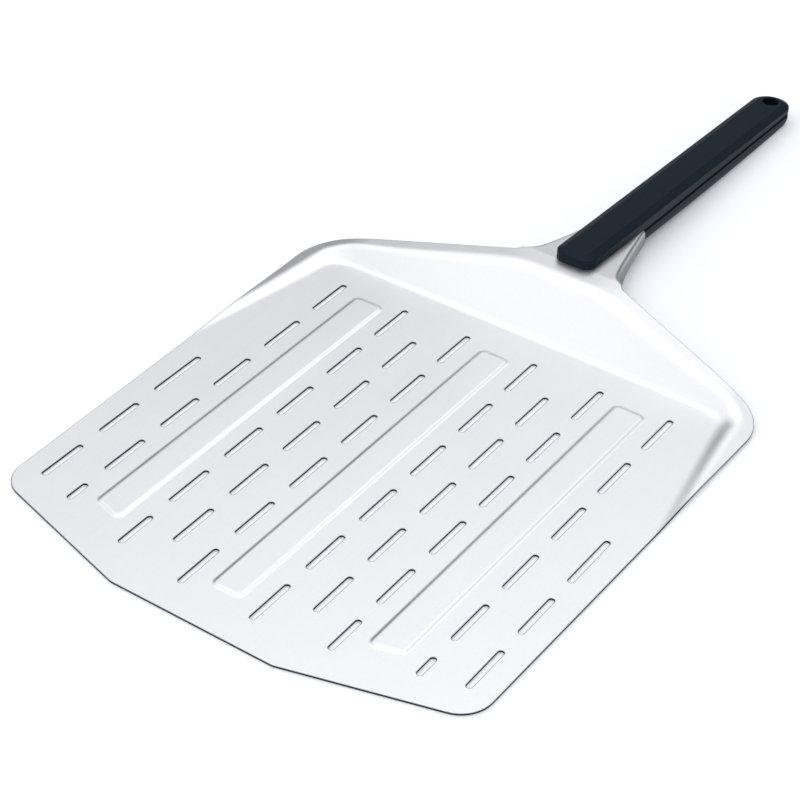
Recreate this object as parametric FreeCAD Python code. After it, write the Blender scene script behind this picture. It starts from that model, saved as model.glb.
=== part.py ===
import FreeCAD, Part
import math
import os

# Pizza peel: a perforated aluminium blade whose neck and tang are part of the same
# pressing, clamped between the two moulded halves of the handle by screws from beneath.
#
# Frame: X across the blade, +Y from the front edge towards the handle's end, +Z up.
# The origin is under the middle of the whole peel, on the plane it rests on.
# Millimetres throughout.

V = FreeCAD.Vector

TALL = 60.0               # higher than any part of the peel
PAST = 1.0                # cutters reach this far past what they cut
TOUCH = 0.05              # points closer than this count as touching

# ---------------------------------------------------------------- blade
LENGTH = 820.0
FRONT_Y = -LENGTH / 2
END_Y = LENGTH / 2
SHEET = 1.5
FLOOR_TRIM = 0.02         # shaved off the underside, so the floor rests on one true plane

# Outline, right-hand half
NOSE_HALF = 67.5          # straight middle stretch of the front edge
NOSE_R = 12.0
FRONT_CORNER = (198.4, -374.0)
FRONT_CORNER_R = 25.0
BACK_CORNER = (203.4, -1.6)
BACK_CORNER_R = 36.0
NECK_CORNER = (26.0, 61.4)
NECK_R = 36.0
NECK_END = (17.5, 136.5)
TANG_HALF = 12.0
TANG_START_Y = 142.5
TANG_END_Y = 305.0
TANG_R = 6.0

# Pressed shape: heights of the top face above the flat floor
FOLD_Y = -12.0            # where the ramp leaves the floor
RAMP_SLOPE = 0.498        # at the middle
RAMP_STEEPENING = 1.85e-5 # added per mm squared outside the neck
RAMP_MIDDLE_HALF = 34.0
NECK_Z = 25.2
NECK_FALL_Y = 60.0        # behind this the neck and tang dip towards the handle's end
NECK_FALL = 0.06
SHOULDER_FALL_X = 0.1085
SHOULDER_RISE_Y = 0.0386
SHOULDER_AT = (43.3, 55.2)
SHOULDER_FRONT_Y = -30.0
PAN_BACK_HALF = 205.0     # half width of the floor at PAN_START_Y
PAN_START_Y = -165.0
PAN_TAPER = 0.189
PAN_WALL_SLOPE = 0.45
RIM_FALL = 0.26           # the rim outside the wall drops towards the side edge
RIM_HALF = 203.5
RIM_EDGE_Z = 0.5
RIM_RISE_LENGTH = 135.0
BEND = 1.8                # height over which a valley bend is rounded
CREST = 3.5               # height over which the crest round the pan is rounded
RIDGE = 1.5               # height over which the shoulders run into the neck and the rims
CORNER = 13.0             # height over which the ramp runs into the side walls
GRID = 6.0                # spacing of the points that shape the pressed surface
GRID_MARGIN = 3           # points past the sheet's edge on each side

# Neck: the sheet turns down along two fold lines into a channel that grips the handle
FOLD_BACK_HALF = 17.7     # half width between the folds at the channel's back end
FOLD_SPREAD = 0.221       # how fast that half width grows towards the blade
FOLD_FLARE = 4.8          # extra half width where the folds curve outwards in front
FOLD_FLARE_LENGTH = 9.0
FLANGE_BACK_HALF = 27.8   # half width of the unfolded sheet at the channel's back end
FLANGE_START_Y = 49.0
FLANGE_TURN = math.radians(82)
FLANGE_TURN_LENGTH = 22.0
NECK_STATIONS_Y = (54.0, 62.0, 70.0, 78.0, 90.0, 106.0, 124.0, 141.5)
NECK_BEND_R = 4.0
NECK_DROP = 0.1           # the channel's web lies this far below the sheet's top face

# Slots: rows counted from the back, the second set half a pitch further forward
SLOT_WIDTH = 4.4
SLOT_LENGTH = 40.6
SLOT_PITCH = 60.8
SLOT_BACK_Y = -39.5       # back end of the last slot in the first set of columns
INNER_COLUMN_X = 30.1
MIDDLE_COLUMN_X = 59.2
THIRD_COLUMN_X = 88.1
FOURTH_COLUMN_X = 147.0
EDGE_COLUMN_X = 178.6
SHORT_THIRD = 33.4
SHORT_FOURTH = 19.0
LONG_EDGE = 50.8

# Ribs
RIB_HEIGHT = 0.9
RIB_FLANK = 3.2
RIB_CORNER_R = 6.0
RIB_ROOT = 0.5            # a rib starts this far inside the sheet
SIDE_RIB_X = (103.5, 131.0)
SIDE_RIB_Y = (-361.0, -46.0)
SIDE_RIB_FRONT_SLANT = 0.275
CENTRE_RIB_HALF = 13.5
CENTRE_RIB_Y = (-374.0, -46.5)

# ---------------------------------------------------------------- handle
GRIP_HALF = 17.0
GRIP_FRONT_Y = 57.0
GRIP_FRONT_R = 9.5
GRIP_TOP_FRONT_Z = 37.4
GRIP_TOP_FALL = 0.055
GRIP_CHAMFER_DOWN = 3.1
GRIP_CHAMFER_IN = 6.3
GRIP_WALL = 3.0
PARTING_KINK_Y = 175.0    # up to here the shells part along the top of the tang
PARTING_FALL = 0.039
SHADOW_GAP = 2.6          # groove between the two shells
LIP_INSET = 1.3           # how deep that groove is
LOWER_FRONT_Y = 143.5
LOWER_NOSE_Y = 112.0
LOWER_NOSE_HALF = 14.2
LOWER_NOSE_BOTTOM_Z = 11.0
BELLY = ((143.5, 8.9), (265.0, 2.9), (385.0, 0.0))
LOWER_CHAMFER_IN = 1.6
LOWER_CHAMFER_UP = 5.0
TANG_CLEARANCE = 0.3

HANG_HOLE_Y = 394.0
HANG_HOLE_R = 7.0
HANG_BOSS_R = 10.0

# ---------------------------------------------------------------- fasteners
SCREW_Y = (172.0, 226.0, 280.0, 352.0)
SCREW_R = 1.95
SCREW_HOLE_R = 2.25
SCREW_HEAD_R = 3.5
SCREW_HEAD_H = 2.6
SCREW_SEAT_BELOW = 6.0    # underside of the head below the joint between the shells
SCREW_REACH = 5.0         # length of the screw above that joint
SCREW_HEX = 1.45
SCREW_HEX_DEPTH = 1.6
COUNTERBORE_R = 4.1
UPPER_BOSS_R = 4.8
LOWER_BOSS_R = 6.6
INSERT_R = 2.9
INSERT_BORE_R = 2.0
INSERT_LENGTH = 5.2
INSERT_GAP = 0.4          # insert starts this far above the joint
INSERT_WAIST = (0.4, 0.6) # share of the length between which the insert is waisted
INSERT_WAIST_DEPTH = 0.4


def smooth_min(a, b, blend):
    """The smaller value, with the corner between the two rounded over the height blend."""
    return min(a, b) - max(blend - abs(a - b), 0.0) ** 2 / (4 * blend)


def smooth_max(a, b, blend):
    return -smooth_min(-a, -b, blend)


def neck_height(y):
    """Height of the neck's and tang's top face above the floor."""
    return NECK_Z - NECK_FALL * max(y - NECK_FALL_Y, 0.0)


def pressed_height(x, y):
    """Height of the pressed sheet's top face above the floor, before the ribs."""
    side = abs(x)
    slope = RAMP_SLOPE + RAMP_STEEPENING * max(side - RAMP_MIDDLE_HALF, 0.0) ** 2
    ramp = slope * (y - FOLD_Y)
    floor_half = PAN_BACK_HALF - PAN_TAPER * (y - PAN_START_Y)
    wall = PAN_WALL_SLOPE * (side - floor_half)
    pan = smooth_max(0.0, smooth_max(ramp, wall, CORNER), BEND)

    shoulder = NECK_Z - SHOULDER_FALL_X * (side - SHOULDER_AT[0])
    shoulder += SHOULDER_RISE_Y * (max(y, SHOULDER_FRONT_Y) - SHOULDER_AT[1])
    share = min(max((y - PAN_START_Y) / RIM_RISE_LENGTH, 0.0), 1.0)
    rim_edge = RIM_EDGE_Z * share + CREST * (1 - share) ** 2
    rim = rim_edge + RIM_FALL * max(RIM_HALF - side, 0.0)
    outer = smooth_min(smooth_min(neck_height(y), shoulder, RIDGE), rim, RIDGE)
    return smooth_min(pan, outer, CREST)


def flat_at(z):
    """Placing function for an outline in the horizontal plane at z."""
    return lambda u, v: V(u, v, z)


def upright_at(y):
    """Placing function for a section across the peel at y."""
    return lambda u, v: V(u, y, v)


def side_on(x):
    """Placing function for a side profile at x, given as (y, z)."""
    return lambda u, v: V(x, u, v)


def rounded_wire(corners, place):
    """Closed wire through (u, v, radius) corners, each one rounded by an arc."""
    count = len(corners)
    spots = [place(u, v) for u, v, _ in corners]
    edges = []
    first_start = None
    previous_end = None
    for i, (_, _, radius) in enumerate(corners):
        here = spots[i]
        into = (spots[i - 1] - here).normalize()
        out = (spots[(i + 1) % count] - here).normalize()
        half = into.getAngle(out) / 2
        reach = radius / math.tan(half)
        start = here + into * reach
        end = here + out * reach
        if previous_end is None:
            first_start = start
        elif (start - previous_end).Length > TOUCH:
            edges.append(Part.LineSegment(previous_end, start).toShape())
        if radius > 0:
            middle = here + (into + out).normalize() * (radius / math.sin(half) - radius)
            edges.append(Part.Arc(start, middle, end).toShape())
        previous_end = end
    if (first_start - previous_end).Length > TOUCH:
        edges.append(Part.LineSegment(previous_end, first_start).toShape())
    return Part.Wire(edges)


def upright_block(outline, z_low, z_high):
    """Upright block on a closed outline that lies at z_low."""
    return Part.Face(outline).extrude(V(0, 0, z_high - z_low))


def prism(corners, z_low, z_high):
    """Upright block on a rounded outline given by its corners."""
    return upright_block(rounded_wire(corners, flat_at(z_low)), z_low, z_high)


def profile_block(profile, half):
    """Block with the given (y, z) side profile, reaching half to each side."""
    face = Part.Face(rounded_wire([(y, z, 0.0) for y, z in profile], side_on(-half)))
    return face.extrude(V(2 * half, 0, 0))


def mirrored(half_corners):
    """Full outline from its right-hand half, given from front to back."""
    left = [(-x, y, radius) for x, y, radius in reversed(half_corners)]
    return list(half_corners) + left


def upright_cylinder(y, radius, z_low, z_high):
    return Part.makeCylinder(radius, z_high - z_low, V(0, y, z_low))


# ---------------------------------------------------------------- blade

def end_knots(spans, degree):
    """Evenly spaced knots with the end ones repeated, so the surface reaches its edge points."""
    knots = list(range(spans + 1))
    return knots, [degree + 1] + [1] * (spans - 1) + [degree + 1]


def pressed_sheet():
    """The whole sheet with its ramp, rims, neck and tang, not yet cut to its outline.

    Its top face is a cubic surface pulled towards a grid of points on the pressed shape,
    so flats stay exactly flat and each bend is eased over a grid step.
    """
    degree = 3
    columns = 2 * (math.ceil(BACK_CORNER[0] / GRID) + GRID_MARGIN) + 1
    rows = math.ceil((TANG_END_Y - FRONT_Y) / GRID) + 2 * GRID_MARGIN + 1
    top = SHEET - FLOOR_TRIM
    points = []
    for i in range(columns):
        x = (i - (columns - 1) / 2) * GRID
        line = [FRONT_Y + (j - GRID_MARGIN) * GRID for j in range(rows)]
        points.append([V(x, y, top + pressed_height(x, y)) for y in line])
    across, across_repeats = end_knots(columns - degree, degree)
    along, along_repeats = end_knots(rows - degree, degree)
    surface = Part.BSplineSurface()
    surface.buildFromPolesMultsKnots(
        points, across_repeats, along_repeats, across, along, False, False, degree, degree
    )
    return surface.toShape().extrude(V(0, 0, -SHEET))


def blade_outline():
    half = [
        (NOSE_HALF, FRONT_Y, NOSE_R),
        (FRONT_CORNER[0], FRONT_CORNER[1], FRONT_CORNER_R),
        (BACK_CORNER[0], BACK_CORNER[1], BACK_CORNER_R),
        (NECK_CORNER[0], NECK_CORNER[1], NECK_R),
        (NECK_END[0], NECK_END[1], 0.0),
        (TANG_HALF, TANG_START_Y, 0.0),
        (TANG_HALF, TANG_END_Y, TANG_R),
    ]
    return mirrored(half)


def neck_section(y):
    """Closed outline across the neck: a web with a flange turned down on each side."""
    top = SHEET + neck_height(y) - NECK_DROP
    ahead = NECK_STATIONS_Y[-1] - y
    sheet_half = FLANGE_BACK_HALF + FOLD_SPREAD * ahead
    bend_half = FOLD_BACK_HALF + FOLD_SPREAD * ahead
    bend_half += FOLD_FLARE * math.exp((NECK_STATIONS_Y[0] - y) / FOLD_FLARE_LENGTH)
    angle = FLANGE_TURN * (1 - math.exp((FLANGE_START_Y - y) / FLANGE_TURN_LENGTH))
    run = (sheet_half - bend_half) * math.cos(angle)
    drop = (sheet_half - bend_half) * math.sin(angle)
    edge_half = bend_half + run
    edge_z = top - drop
    inset_x = SHEET * math.sin(angle)
    inset_z = SHEET * math.cos(angle)
    inner_bend = bend_half - inset_x + run * (SHEET - inset_z) / drop
    right = [
        (inner_bend, top - SHEET, NECK_BEND_R / 2),
        (edge_half - inset_x, edge_z - inset_z, 0.0),
        (edge_half, edge_z, 0.0),
        (bend_half, top, NECK_BEND_R),
    ]
    return rounded_wire(mirrored(right), upright_at(y))


def neck_channel():
    sections = [neck_section(y) for y in NECK_STATIONS_Y]
    return Part.makeLoft(sections, True, False)


def outset(corners, distance):
    """Move each side of a convex outline, given anticlockwise, outwards by the distance."""
    count = len(corners)
    moved = []
    for i, (x, y, radius) in enumerate(corners):
        before = corners[i - 1]
        after = corners[(i + 1) % count]
        into = V(x - before[0], y - before[1], 0).normalize()
        out = V(after[0] - x, after[1] - y, 0).normalize()
        normal_in = V(into.y, -into.x, 0)
        normal_out = V(out.y, -out.x, 0)
        shift = (normal_in + normal_out) * (distance / (1 + normal_in.dot(normal_out)))
        moved.append((x + shift.x, y + shift.y, radius + distance))
    return moved


def rib(corners):
    """A raised rib with sloping flanks."""
    grow = RIB_ROOT * RIB_FLANK / RIB_HEIGHT
    foot = rounded_wire(outset(corners, grow), flat_at(SHEET - RIB_ROOT))
    crown = rounded_wire(outset(corners, -RIB_FLANK), flat_at(SHEET + RIB_HEIGHT))
    return Part.makeLoft([foot, crown], True, True)


def side_rib_corners(sign):
    inner, outer = SIDE_RIB_X
    front, back = SIDE_RIB_Y
    front_outer = front + SIDE_RIB_FRONT_SLANT * (outer - inner)
    corners = [
        (inner, front, RIB_CORNER_R),
        (outer, front_outer, RIB_CORNER_R),
        (outer, back, RIB_CORNER_R),
        (inner, back, RIB_CORNER_R),
    ]
    if sign < 0:
        corners = [(-x, y, radius) for x, y, radius in reversed(corners)]
    return corners


def rib_outlines():
    front, back = CENTRE_RIB_Y
    centre = [
        (-CENTRE_RIB_HALF, front, RIB_CORNER_R),
        (CENTRE_RIB_HALF, front, RIB_CORNER_R),
        (CENTRE_RIB_HALF, back, RIB_CORNER_R),
        (-CENTRE_RIB_HALF, back, RIB_CORNER_R),
    ]
    return [side_rib_corners(-1), centre, side_rib_corners(1)]


def slot(x, back_y, length):
    half = SLOT_WIDTH / 2
    corners = [
        (x - half, back_y - length, half),
        (x + half, back_y - length, half),
        (x + half, back_y, half),
        (x - half, back_y, half),
    ]
    return prism(corners, -PAST, SHEET + PAST)


def slot_rows():
    """(x, back y, length) of every slot on the right-hand side."""
    full = SLOT_LENGTH
    first = [SLOT_BACK_Y - SLOT_PITCH * row for row in range(6)]
    second = [back - SLOT_PITCH / 2 for back in first[:5]]
    rows = [(INNER_COLUMN_X, back, full) for back in first]
    rows += [(MIDDLE_COLUMN_X, back, full) for back in second]
    rows += [(THIRD_COLUMN_X, back, full) for back in first[:5]]
    rows += [(THIRD_COLUMN_X, first[5], SHORT_THIRD)]
    rows += [(FOURTH_COLUMN_X, back, full) for back in first[:5]]
    rows += [(FOURTH_COLUMN_X, first[5], SHORT_FOURTH)]
    rows += [(EDGE_COLUMN_X, second[2] + LONG_EDGE - full, LONG_EDGE)]
    rows += [(EDGE_COLUMN_X, back, full) for back in second[3:]]
    return rows


def blade():
    body = pressed_sheet().common(prism(blade_outline(), 0, TALL))
    ribs = [rib(corners) for corners in rib_outlines()]
    body = body.fuse([neck_channel()] + ribs)
    hollows = [shape.translated(V(0, 0, -SHEET)) for shape in ribs]
    slots = [slot(side * x, back, length) for x, back, length in slot_rows() for side in (-1, 1)]
    holes = [upright_cylinder(y, SCREW_HOLE_R, 0, NECK_Z) for y in SCREW_Y if y < TANG_END_Y]
    return body.cut(hollows + slots + holes)


# ---------------------------------------------------------------- handle

def grip_top(y):
    return GRIP_TOP_FRONT_Z - GRIP_TOP_FALL * (y - GRIP_FRONT_Y)


def parting(y):
    """Lower edge of the upper shell: along the tang, then flatter to the end."""
    along_tang = SHEET + neck_height(min(y, PARTING_KINK_Y))
    return along_tang - PARTING_FALL * max(y - PARTING_KINK_Y, 0.0)


def grip_column(front_y, front_r, inset, z_low, z_high):
    """Upright block on the handle's plan: rounded corners in front, a half circle at the end."""
    half = GRIP_HALF - inset
    turn_y = END_Y - GRIP_HALF
    front = [V(half, turn_y, z_low), V(half, front_y + front_r, z_low)]
    bulge = front_r * (1 - math.sqrt(0.5))
    corner = [V(half - bulge, front_y + bulge, z_low), V(half - front_r, front_y, z_low)]
    back = [V(-p.x, p.y, z_low) for p in reversed(front + corner)]
    edges = [
        Part.LineSegment(front[0], front[1]),
        Part.Arc(front[1], corner[0], corner[1]),
        Part.LineSegment(corner[1], back[0]),
        Part.Arc(back[0], back[1], back[2]),
        Part.LineSegment(back[2], back[3]),
        Part.Arc(back[3], V(0, turn_y + half, z_low), front[0]),
    ]
    return upright_block(Part.Wire([edge.toShape() for edge in edges]), z_low, z_high)


def belly(y):
    """Underside of the handle: a shallow arc that meets the resting plane near the end."""
    (y1, z1), (y2, z2), (y3, z3) = BELLY
    first = (z2 - z1) / (y2 - y1)
    bend = ((z3 - z2) / (y3 - y2) - first) / (y3 - y1)
    return z1 + first * (y - y1) + bend * (y - y1) * (y - y2)


def clamped(y):
    """Joint between the shells at a screw: on the tang, or where shell meets shell."""
    return SHEET + neck_height(y) if y < TANG_END_Y else parting(y)


def chamfered(shape, is_chosen, first, second):
    """Chamfer the chosen edges by one distance on each of the two faces that meet there."""
    chosen = [edge for edge in shape.Edges if is_chosen(edge)]
    return shape.makeChamfer(first, second, chosen)


def upper_outer():
    profile = [(y, parting(y)) for y in (GRIP_FRONT_Y, NECK_FALL_Y, PARTING_KINK_Y, END_Y)]
    profile += [(END_Y, grip_top(END_Y)), (GRIP_FRONT_Y, grip_top(GRIP_FRONT_Y))]
    outer = profile_block(profile, GRIP_HALF)
    outer = outer.common(grip_column(GRIP_FRONT_Y, GRIP_FRONT_R, 0.0, 0, GRIP_TOP_FRONT_Z))

    def on_top(edge):
        return all(abs(v.Z - grip_top(v.Y)) < TOUCH for v in edge.Vertexes)

    return chamfered(outer, on_top, GRIP_CHAMFER_DOWN, GRIP_CHAMFER_IN)


def upper_grip_shell():
    """Upper half of the handle: hollow, with bosses for the screws and the hanging hole."""
    inside_front = GRIP_FRONT_Y + GRIP_WALL
    ceiling = [(y, grip_top(y) - GRIP_WALL) for y in (END_Y, inside_front)]
    pocket = profile_block([(inside_front, 0), (END_Y, 0)] + ceiling, GRIP_HALF)
    pocket = pocket.common(grip_column(inside_front, GRIP_FRONT_R, GRIP_WALL, 0, GRIP_TOP_FRONT_Z))
    bosses = [upright_cylinder(y, UPPER_BOSS_R, 0, GRIP_TOP_FRONT_Z) for y in SCREW_Y]
    bosses.append(upright_cylinder(HANG_HOLE_Y, HANG_BOSS_R, 0, GRIP_TOP_FRONT_Z))
    shell = upper_outer().cut(pocket.cut(bosses))
    cuts = [upright_cylinder(HANG_HOLE_Y, HANG_HOLE_R, -PAST, TALL)]
    for y in SCREW_Y:
        top = clamped(y) + INSERT_GAP + INSERT_LENGTH
        cuts.append(upright_cylinder(y, INSERT_R, 0, top))
    return shell.cut(cuts)


def belly_block(half, below_parting):
    """Block between the handle's underside and a line that follows the parting line."""
    points = [V(-half, y, z) for y, z in BELLY]
    seam = [V(-half, y, parting(y) - below_parting) for y in (END_Y, PARTING_KINK_Y, LOWER_FRONT_Y)]
    stops = [points[-1], V(-half, END_Y, 0)] + seam + [points[0]]
    edges = [Part.Arc(*points).toShape()]
    edges += [Part.LineSegment(start, end).toShape() for start, end in zip(stops, stops[1:])]
    return Part.Face(Part.Wire(edges)).extrude(V(2 * half, 0, 0))


def lower_outer():
    """Boat-shaped lower half with a recessed lip and a nose between the neck's flanges."""
    wall = belly_block(GRIP_HALF, SHADOW_GAP)
    wall = wall.common(grip_column(LOWER_FRONT_Y, GRIP_WALL, 0.0, -PAST, TALL))

    def round_bottom(edge):
        middle = edge.valueAt((edge.FirstParameter + edge.LastParameter) / 2)
        at_bottom = abs(middle.z - belly(min(middle.y, BELLY[2][0]))) < TOUCH
        return at_bottom and (abs(middle.x) > GRIP_HALF / 2 or middle.y > BELLY[2][0] + PAST)

    wall = chamfered(wall, round_bottom, LOWER_CHAMFER_IN, LOWER_CHAMFER_UP)
    lip_front = LOWER_FRONT_Y + LIP_INSET
    lip = belly_block(GRIP_HALF, 0.0)
    lip_inset = LIP_INSET + LOWER_CHAMFER_IN
    lip = lip.common(grip_column(lip_front, GRIP_WALL, lip_inset, -PAST, TALL))
    nose_span = (lip_front + GRIP_WALL, LOWER_NOSE_Y)
    nose_top = [(y, neck_height(y) - NECK_DROP - TANG_CLEARANCE) for y in nose_span]
    nose_bottom = [(y, LOWER_NOSE_BOTTOM_Z) for y in reversed(nose_span)]
    return wall.fuse([lip, profile_block(nose_top + nose_bottom, LOWER_NOSE_HALF)])


def lower_grip_shell():
    outer = lower_outer()
    inside_front = LOWER_FRONT_Y + GRIP_WALL
    floor_y = (inside_front, BELLY[1][0], END_Y)
    floor = [(y, max(belly(min(y, BELLY[2][0])), 0.0) + GRIP_WALL) for y in floor_y]
    pocket = profile_block(floor + [(END_Y, TALL), (inside_front, TALL)], GRIP_HALF)
    pocket = pocket.common(grip_column(inside_front, GRIP_WALL, GRIP_WALL + LIP_INSET, 0, TALL))
    bosses = [upright_cylinder(y, LOWER_BOSS_R, 0, TALL) for y in SCREW_Y]
    bosses.append(upright_cylinder(HANG_HOLE_Y, HANG_BOSS_R, 0, TALL))
    shell = outer.cut(pocket.cut(bosses))
    tang_top = [(y, TALL) for y in (TANG_END_Y + TANG_CLEARANCE, LOWER_NOSE_Y - PAST)]
    tang_seat = [(y, neck_height(y)) for y in (LOWER_NOSE_Y - PAST, TANG_END_Y + TANG_CLEARANCE)]
    cuts = [profile_block(tang_seat + tang_top, TANG_HALF + TANG_CLEARANCE)]
    cuts.append(upright_cylinder(HANG_HOLE_Y, HANG_HOLE_R, -PAST, TALL))
    for y in SCREW_Y:
        cuts.append(upright_cylinder(y, SCREW_HOLE_R, -PAST, TALL))
        cuts.append(upright_cylinder(y, COUNTERBORE_R, -PAST, clamped(y) - SCREW_SEAT_BELOW))
    return shell.cut(cuts)


# ---------------------------------------------------------------- fasteners

def grip_screw(y):
    joint = clamped(y)
    seat = joint - SCREW_SEAT_BELOW
    head = upright_cylinder(y, SCREW_HEAD_R, seat - SCREW_HEAD_H, seat)
    rim = [edge for edge in head.Edges if edge.Closed and edge.CenterOfMass.z < seat - PAST]
    head = head.makeFillet(SCREW_HEAD_H / 4, rim)
    shank = upright_cylinder(y, SCREW_R, seat - SCREW_HEAD_H / 2, joint + SCREW_REACH)
    reach = SCREW_HEX / math.cos(math.pi / 6)
    turns = [math.pi / 3 * i for i in range(6)]
    corners = [(reach * math.cos(turn), y + reach * math.sin(turn), 0.0) for turn in turns]
    low = seat - SCREW_HEAD_H
    socket = prism(corners, low - PAST, low + SCREW_HEX_DEPTH)
    return head.fuse(shank).cut(socket)


def threaded_insert(y):
    low = clamped(y) + INSERT_GAP
    high = low + INSERT_LENGTH
    waist_low, waist_high = [low + share * INSERT_LENGTH for share in INSERT_WAIST]
    sleeve = upright_cylinder(y, INSERT_R, low, high)
    waist = upright_cylinder(y, INSERT_R, waist_low, waist_high)
    waist = waist.cut(upright_cylinder(y, INSERT_R - INSERT_WAIST_DEPTH, low, high))
    return sleeve.cut([waist, upright_cylinder(y, INSERT_BORE_R, low, high)])


def write(name, shape):
    shape.exportStep("parts/" + name + ".step")


def main():
    os.makedirs("parts", exist_ok=True)
    write("blade", blade())
    write("upper_grip_shell", upper_grip_shell())
    write("lower_grip_shell", lower_grip_shell())
    for number, y in enumerate(SCREW_Y, start=1):
        write(f"grip_screw_{number}", grip_screw(y))
        write(f"threaded_insert_{number}", threaded_insert(y))


main()
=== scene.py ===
import math

import bpy
import numpy as np
from mathutils import Matrix, Vector, geometry


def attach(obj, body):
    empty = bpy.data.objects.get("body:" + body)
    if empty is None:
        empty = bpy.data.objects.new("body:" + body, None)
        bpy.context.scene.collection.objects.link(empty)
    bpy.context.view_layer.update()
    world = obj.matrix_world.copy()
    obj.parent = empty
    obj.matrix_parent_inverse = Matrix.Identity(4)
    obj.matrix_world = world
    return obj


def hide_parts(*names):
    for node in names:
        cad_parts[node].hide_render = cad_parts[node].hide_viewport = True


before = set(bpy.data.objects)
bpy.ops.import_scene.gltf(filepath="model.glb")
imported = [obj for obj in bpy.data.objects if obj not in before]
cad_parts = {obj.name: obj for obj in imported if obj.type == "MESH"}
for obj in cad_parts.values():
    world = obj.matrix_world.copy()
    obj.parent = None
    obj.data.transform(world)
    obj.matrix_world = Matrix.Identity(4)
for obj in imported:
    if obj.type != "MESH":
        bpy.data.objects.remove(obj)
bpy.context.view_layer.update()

MM = 0.001                # lengths below are in millimetres unless they say otherwise

# ---------------------------------------------------------------- sizes, as in the CAD design

SHEET = 1.5
LENGTH = 820.0
FRONT_Y = -LENGTH / 2
END_Y = LENGTH / 2

# Blade outline, right-hand half, unfolded: (x, y, corner radius)
BLADE_HALF = [
    (67.5, FRONT_Y, 12.0),
    (198.4, -374.0, 25.0),
    (203.4, -1.6, 36.0),
    (46.4, 54.2, 9.0),
    (27.8, 142.5, 7.0),
    (16.0, 143.0, 1.0),
    (12.0, 144.5, 1.0),
    (12.0, 305.0, 6.0),
]

# Pressed shape
FOLD_Y = -12.0
RAMP_SLOPE = 0.498
RAMP_STEEPENING = 1.85e-5
RAMP_MIDDLE_HALF = 34.0
NECK_Z = 25.2
NECK_FALL_Y = 60.0
NECK_FALL = 0.06
SHOULDER_FALL_X = 0.1085
SHOULDER_RISE_Y = 0.0386
SHOULDER_AT = (43.3, 55.2)
SHOULDER_FRONT_Y = -30.0
PAN_BACK_HALF = 205.0
PAN_START_Y = -165.0
PAN_TAPER = 0.189
PAN_WALL_SLOPE = 0.45
RIM_FALL = 0.26
RIM_HALF = 203.5
RIM_EDGE_Z = 0.5
RIM_RISE_LENGTH = 135.0
BEND = 1.8
CREST = 3.5
RIDGE = 1.5
CORNER = 13.0

# Neck flanges: the fold line, and how far the sheet is turned down. Their flare, start, turn and bend
# radius differ from the CAD design, where they are gentler.
FOLD_BACK_HALF = 17.7
FOLD_BACK_Y = 141.5
FOLD_SPREAD = 0.221
FOLD_FLARE = 5.6
FOLD_FLARE_Y = 60.8
FOLD_FLARE_LENGTH = 5.0
FOLD_FLARE_LIMIT = 20.0   # no more flare from this far in front of FOLD_FLARE_Y
FLANGE_START_Y = 52.0
FLANGE_TURN = math.radians(82)
FLANGE_TURN_LENGTH = 20.0
FLANGE_BEND_R = 3.5

# Painted shade on the neck's flanges, darker than the rest of the sheet, standing in for the dark
# surroundings they reflect
FLANGE_SHADE_ON_FOLD = 0.3        # how much of it shows on the fold line itself
FLANGE_SHADE_START = 4.0          # behind the flanges' start
FLANGE_SHADE_RISE_LENGTH = 8.0
FLANGE_SHADE_END = 4.0            # behind the folds' back end

# Slots: (x, back end of the first, length, how many), repeated forwards at the pitch
SLOT_HALF = 2.2
SLOT_LENGTH = 40.6
SLOT_PITCH = 60.8
SLOT_BACK_Y = -39.5
SLOT_MID_Y = SLOT_BACK_Y - SLOT_PITCH / 2
SLOT_LAST_Y = SLOT_BACK_Y - 5 * SLOT_PITCH
LONG_SLOT = 50.8
SLOT_COLUMNS = [
    (30.1, SLOT_BACK_Y, SLOT_LENGTH, 6),
    (59.2, SLOT_MID_Y, SLOT_LENGTH, 5),
    (88.1, SLOT_BACK_Y, SLOT_LENGTH, 5),
    (88.1, SLOT_LAST_Y, 33.4, 1),
    (147.0, SLOT_BACK_Y, SLOT_LENGTH, 5),
    (147.0, SLOT_LAST_Y, 19.0, 1),
    (178.6, SLOT_MID_Y - 2 * SLOT_PITCH + LONG_SLOT - SLOT_LENGTH, LONG_SLOT, 1),
    (178.6, SLOT_MID_Y - 3 * SLOT_PITCH, SLOT_LENGTH, 2),
]

# Ribs
RIB_HEIGHT = 0.9
RIB_FLANK = 3.2
RIB_CORNER_R = 6.0
RIB_RING_INSETS = (-0.5, 0.6, 1.2, 1.8, 2.4, 3.0, 4.2)     # lines of vertices across a flank
SIDE_RIB_X = (103.5, 131.0)
SIDE_RIB_Y = (-361.0, -46.0)
SIDE_RIB_SLANT = 7.6
CENTRE_RIB_HALF = 13.5
CENTRE_RIB_Y = (-374.0, -46.5)

# Handle
GRIP_HALF = 17.0
GRIP_FRONT_Y = 57.0
GRIP_FRONT_R = 9.5
GRIP_TOP_FRONT_Z = 37.4
GRIP_TOP_FALL = 0.055
GRIP_CHAMFER = (6.3, 3.1)
GRIP_EDGE_R = 0.9
CORNER_LEAST_R = 0.4      # least front corner radius, however far the plan is set in
CHAMFER_RUN = 1.2         # flat kept past a chamfer, for rounding its corners
CHAMFER_DROP = 2.0        # side kept below the upper chamfer
UPPER_PARTING_EDGE = ((0.0, 0.5), (0.15, 0.15), (0.5, 0.0))     # (inset, above the parting)
LOWER_LEDGE_EDGE = ((0.4, 0.0), (0.1, 0.1), (0.0, 0.4))         # (inset, below the shadow gap)
PARTING_KINK_Y = 175.0
PARTING_FALL = 0.039
SHADOW_GAP = 2.6
LIP_INSET = 1.3
LOWER_FRONT_Y = 143.5
LOWER_FRONT_R = 3.0
LOWER_CHAMFER = (1.6, 5.0)
LOWER_EDGE_R = 0.7
BELLY = ((143.5, 8.9), (265.0, 2.9), (385.0, 0.0))
TONGUE_Y = (112.0, 150.0)
TONGUE_HALF = 14.2
TONGUE_Z = (11.0, 20.6)
TONGUE_FRONT_R = 4.0
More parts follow.
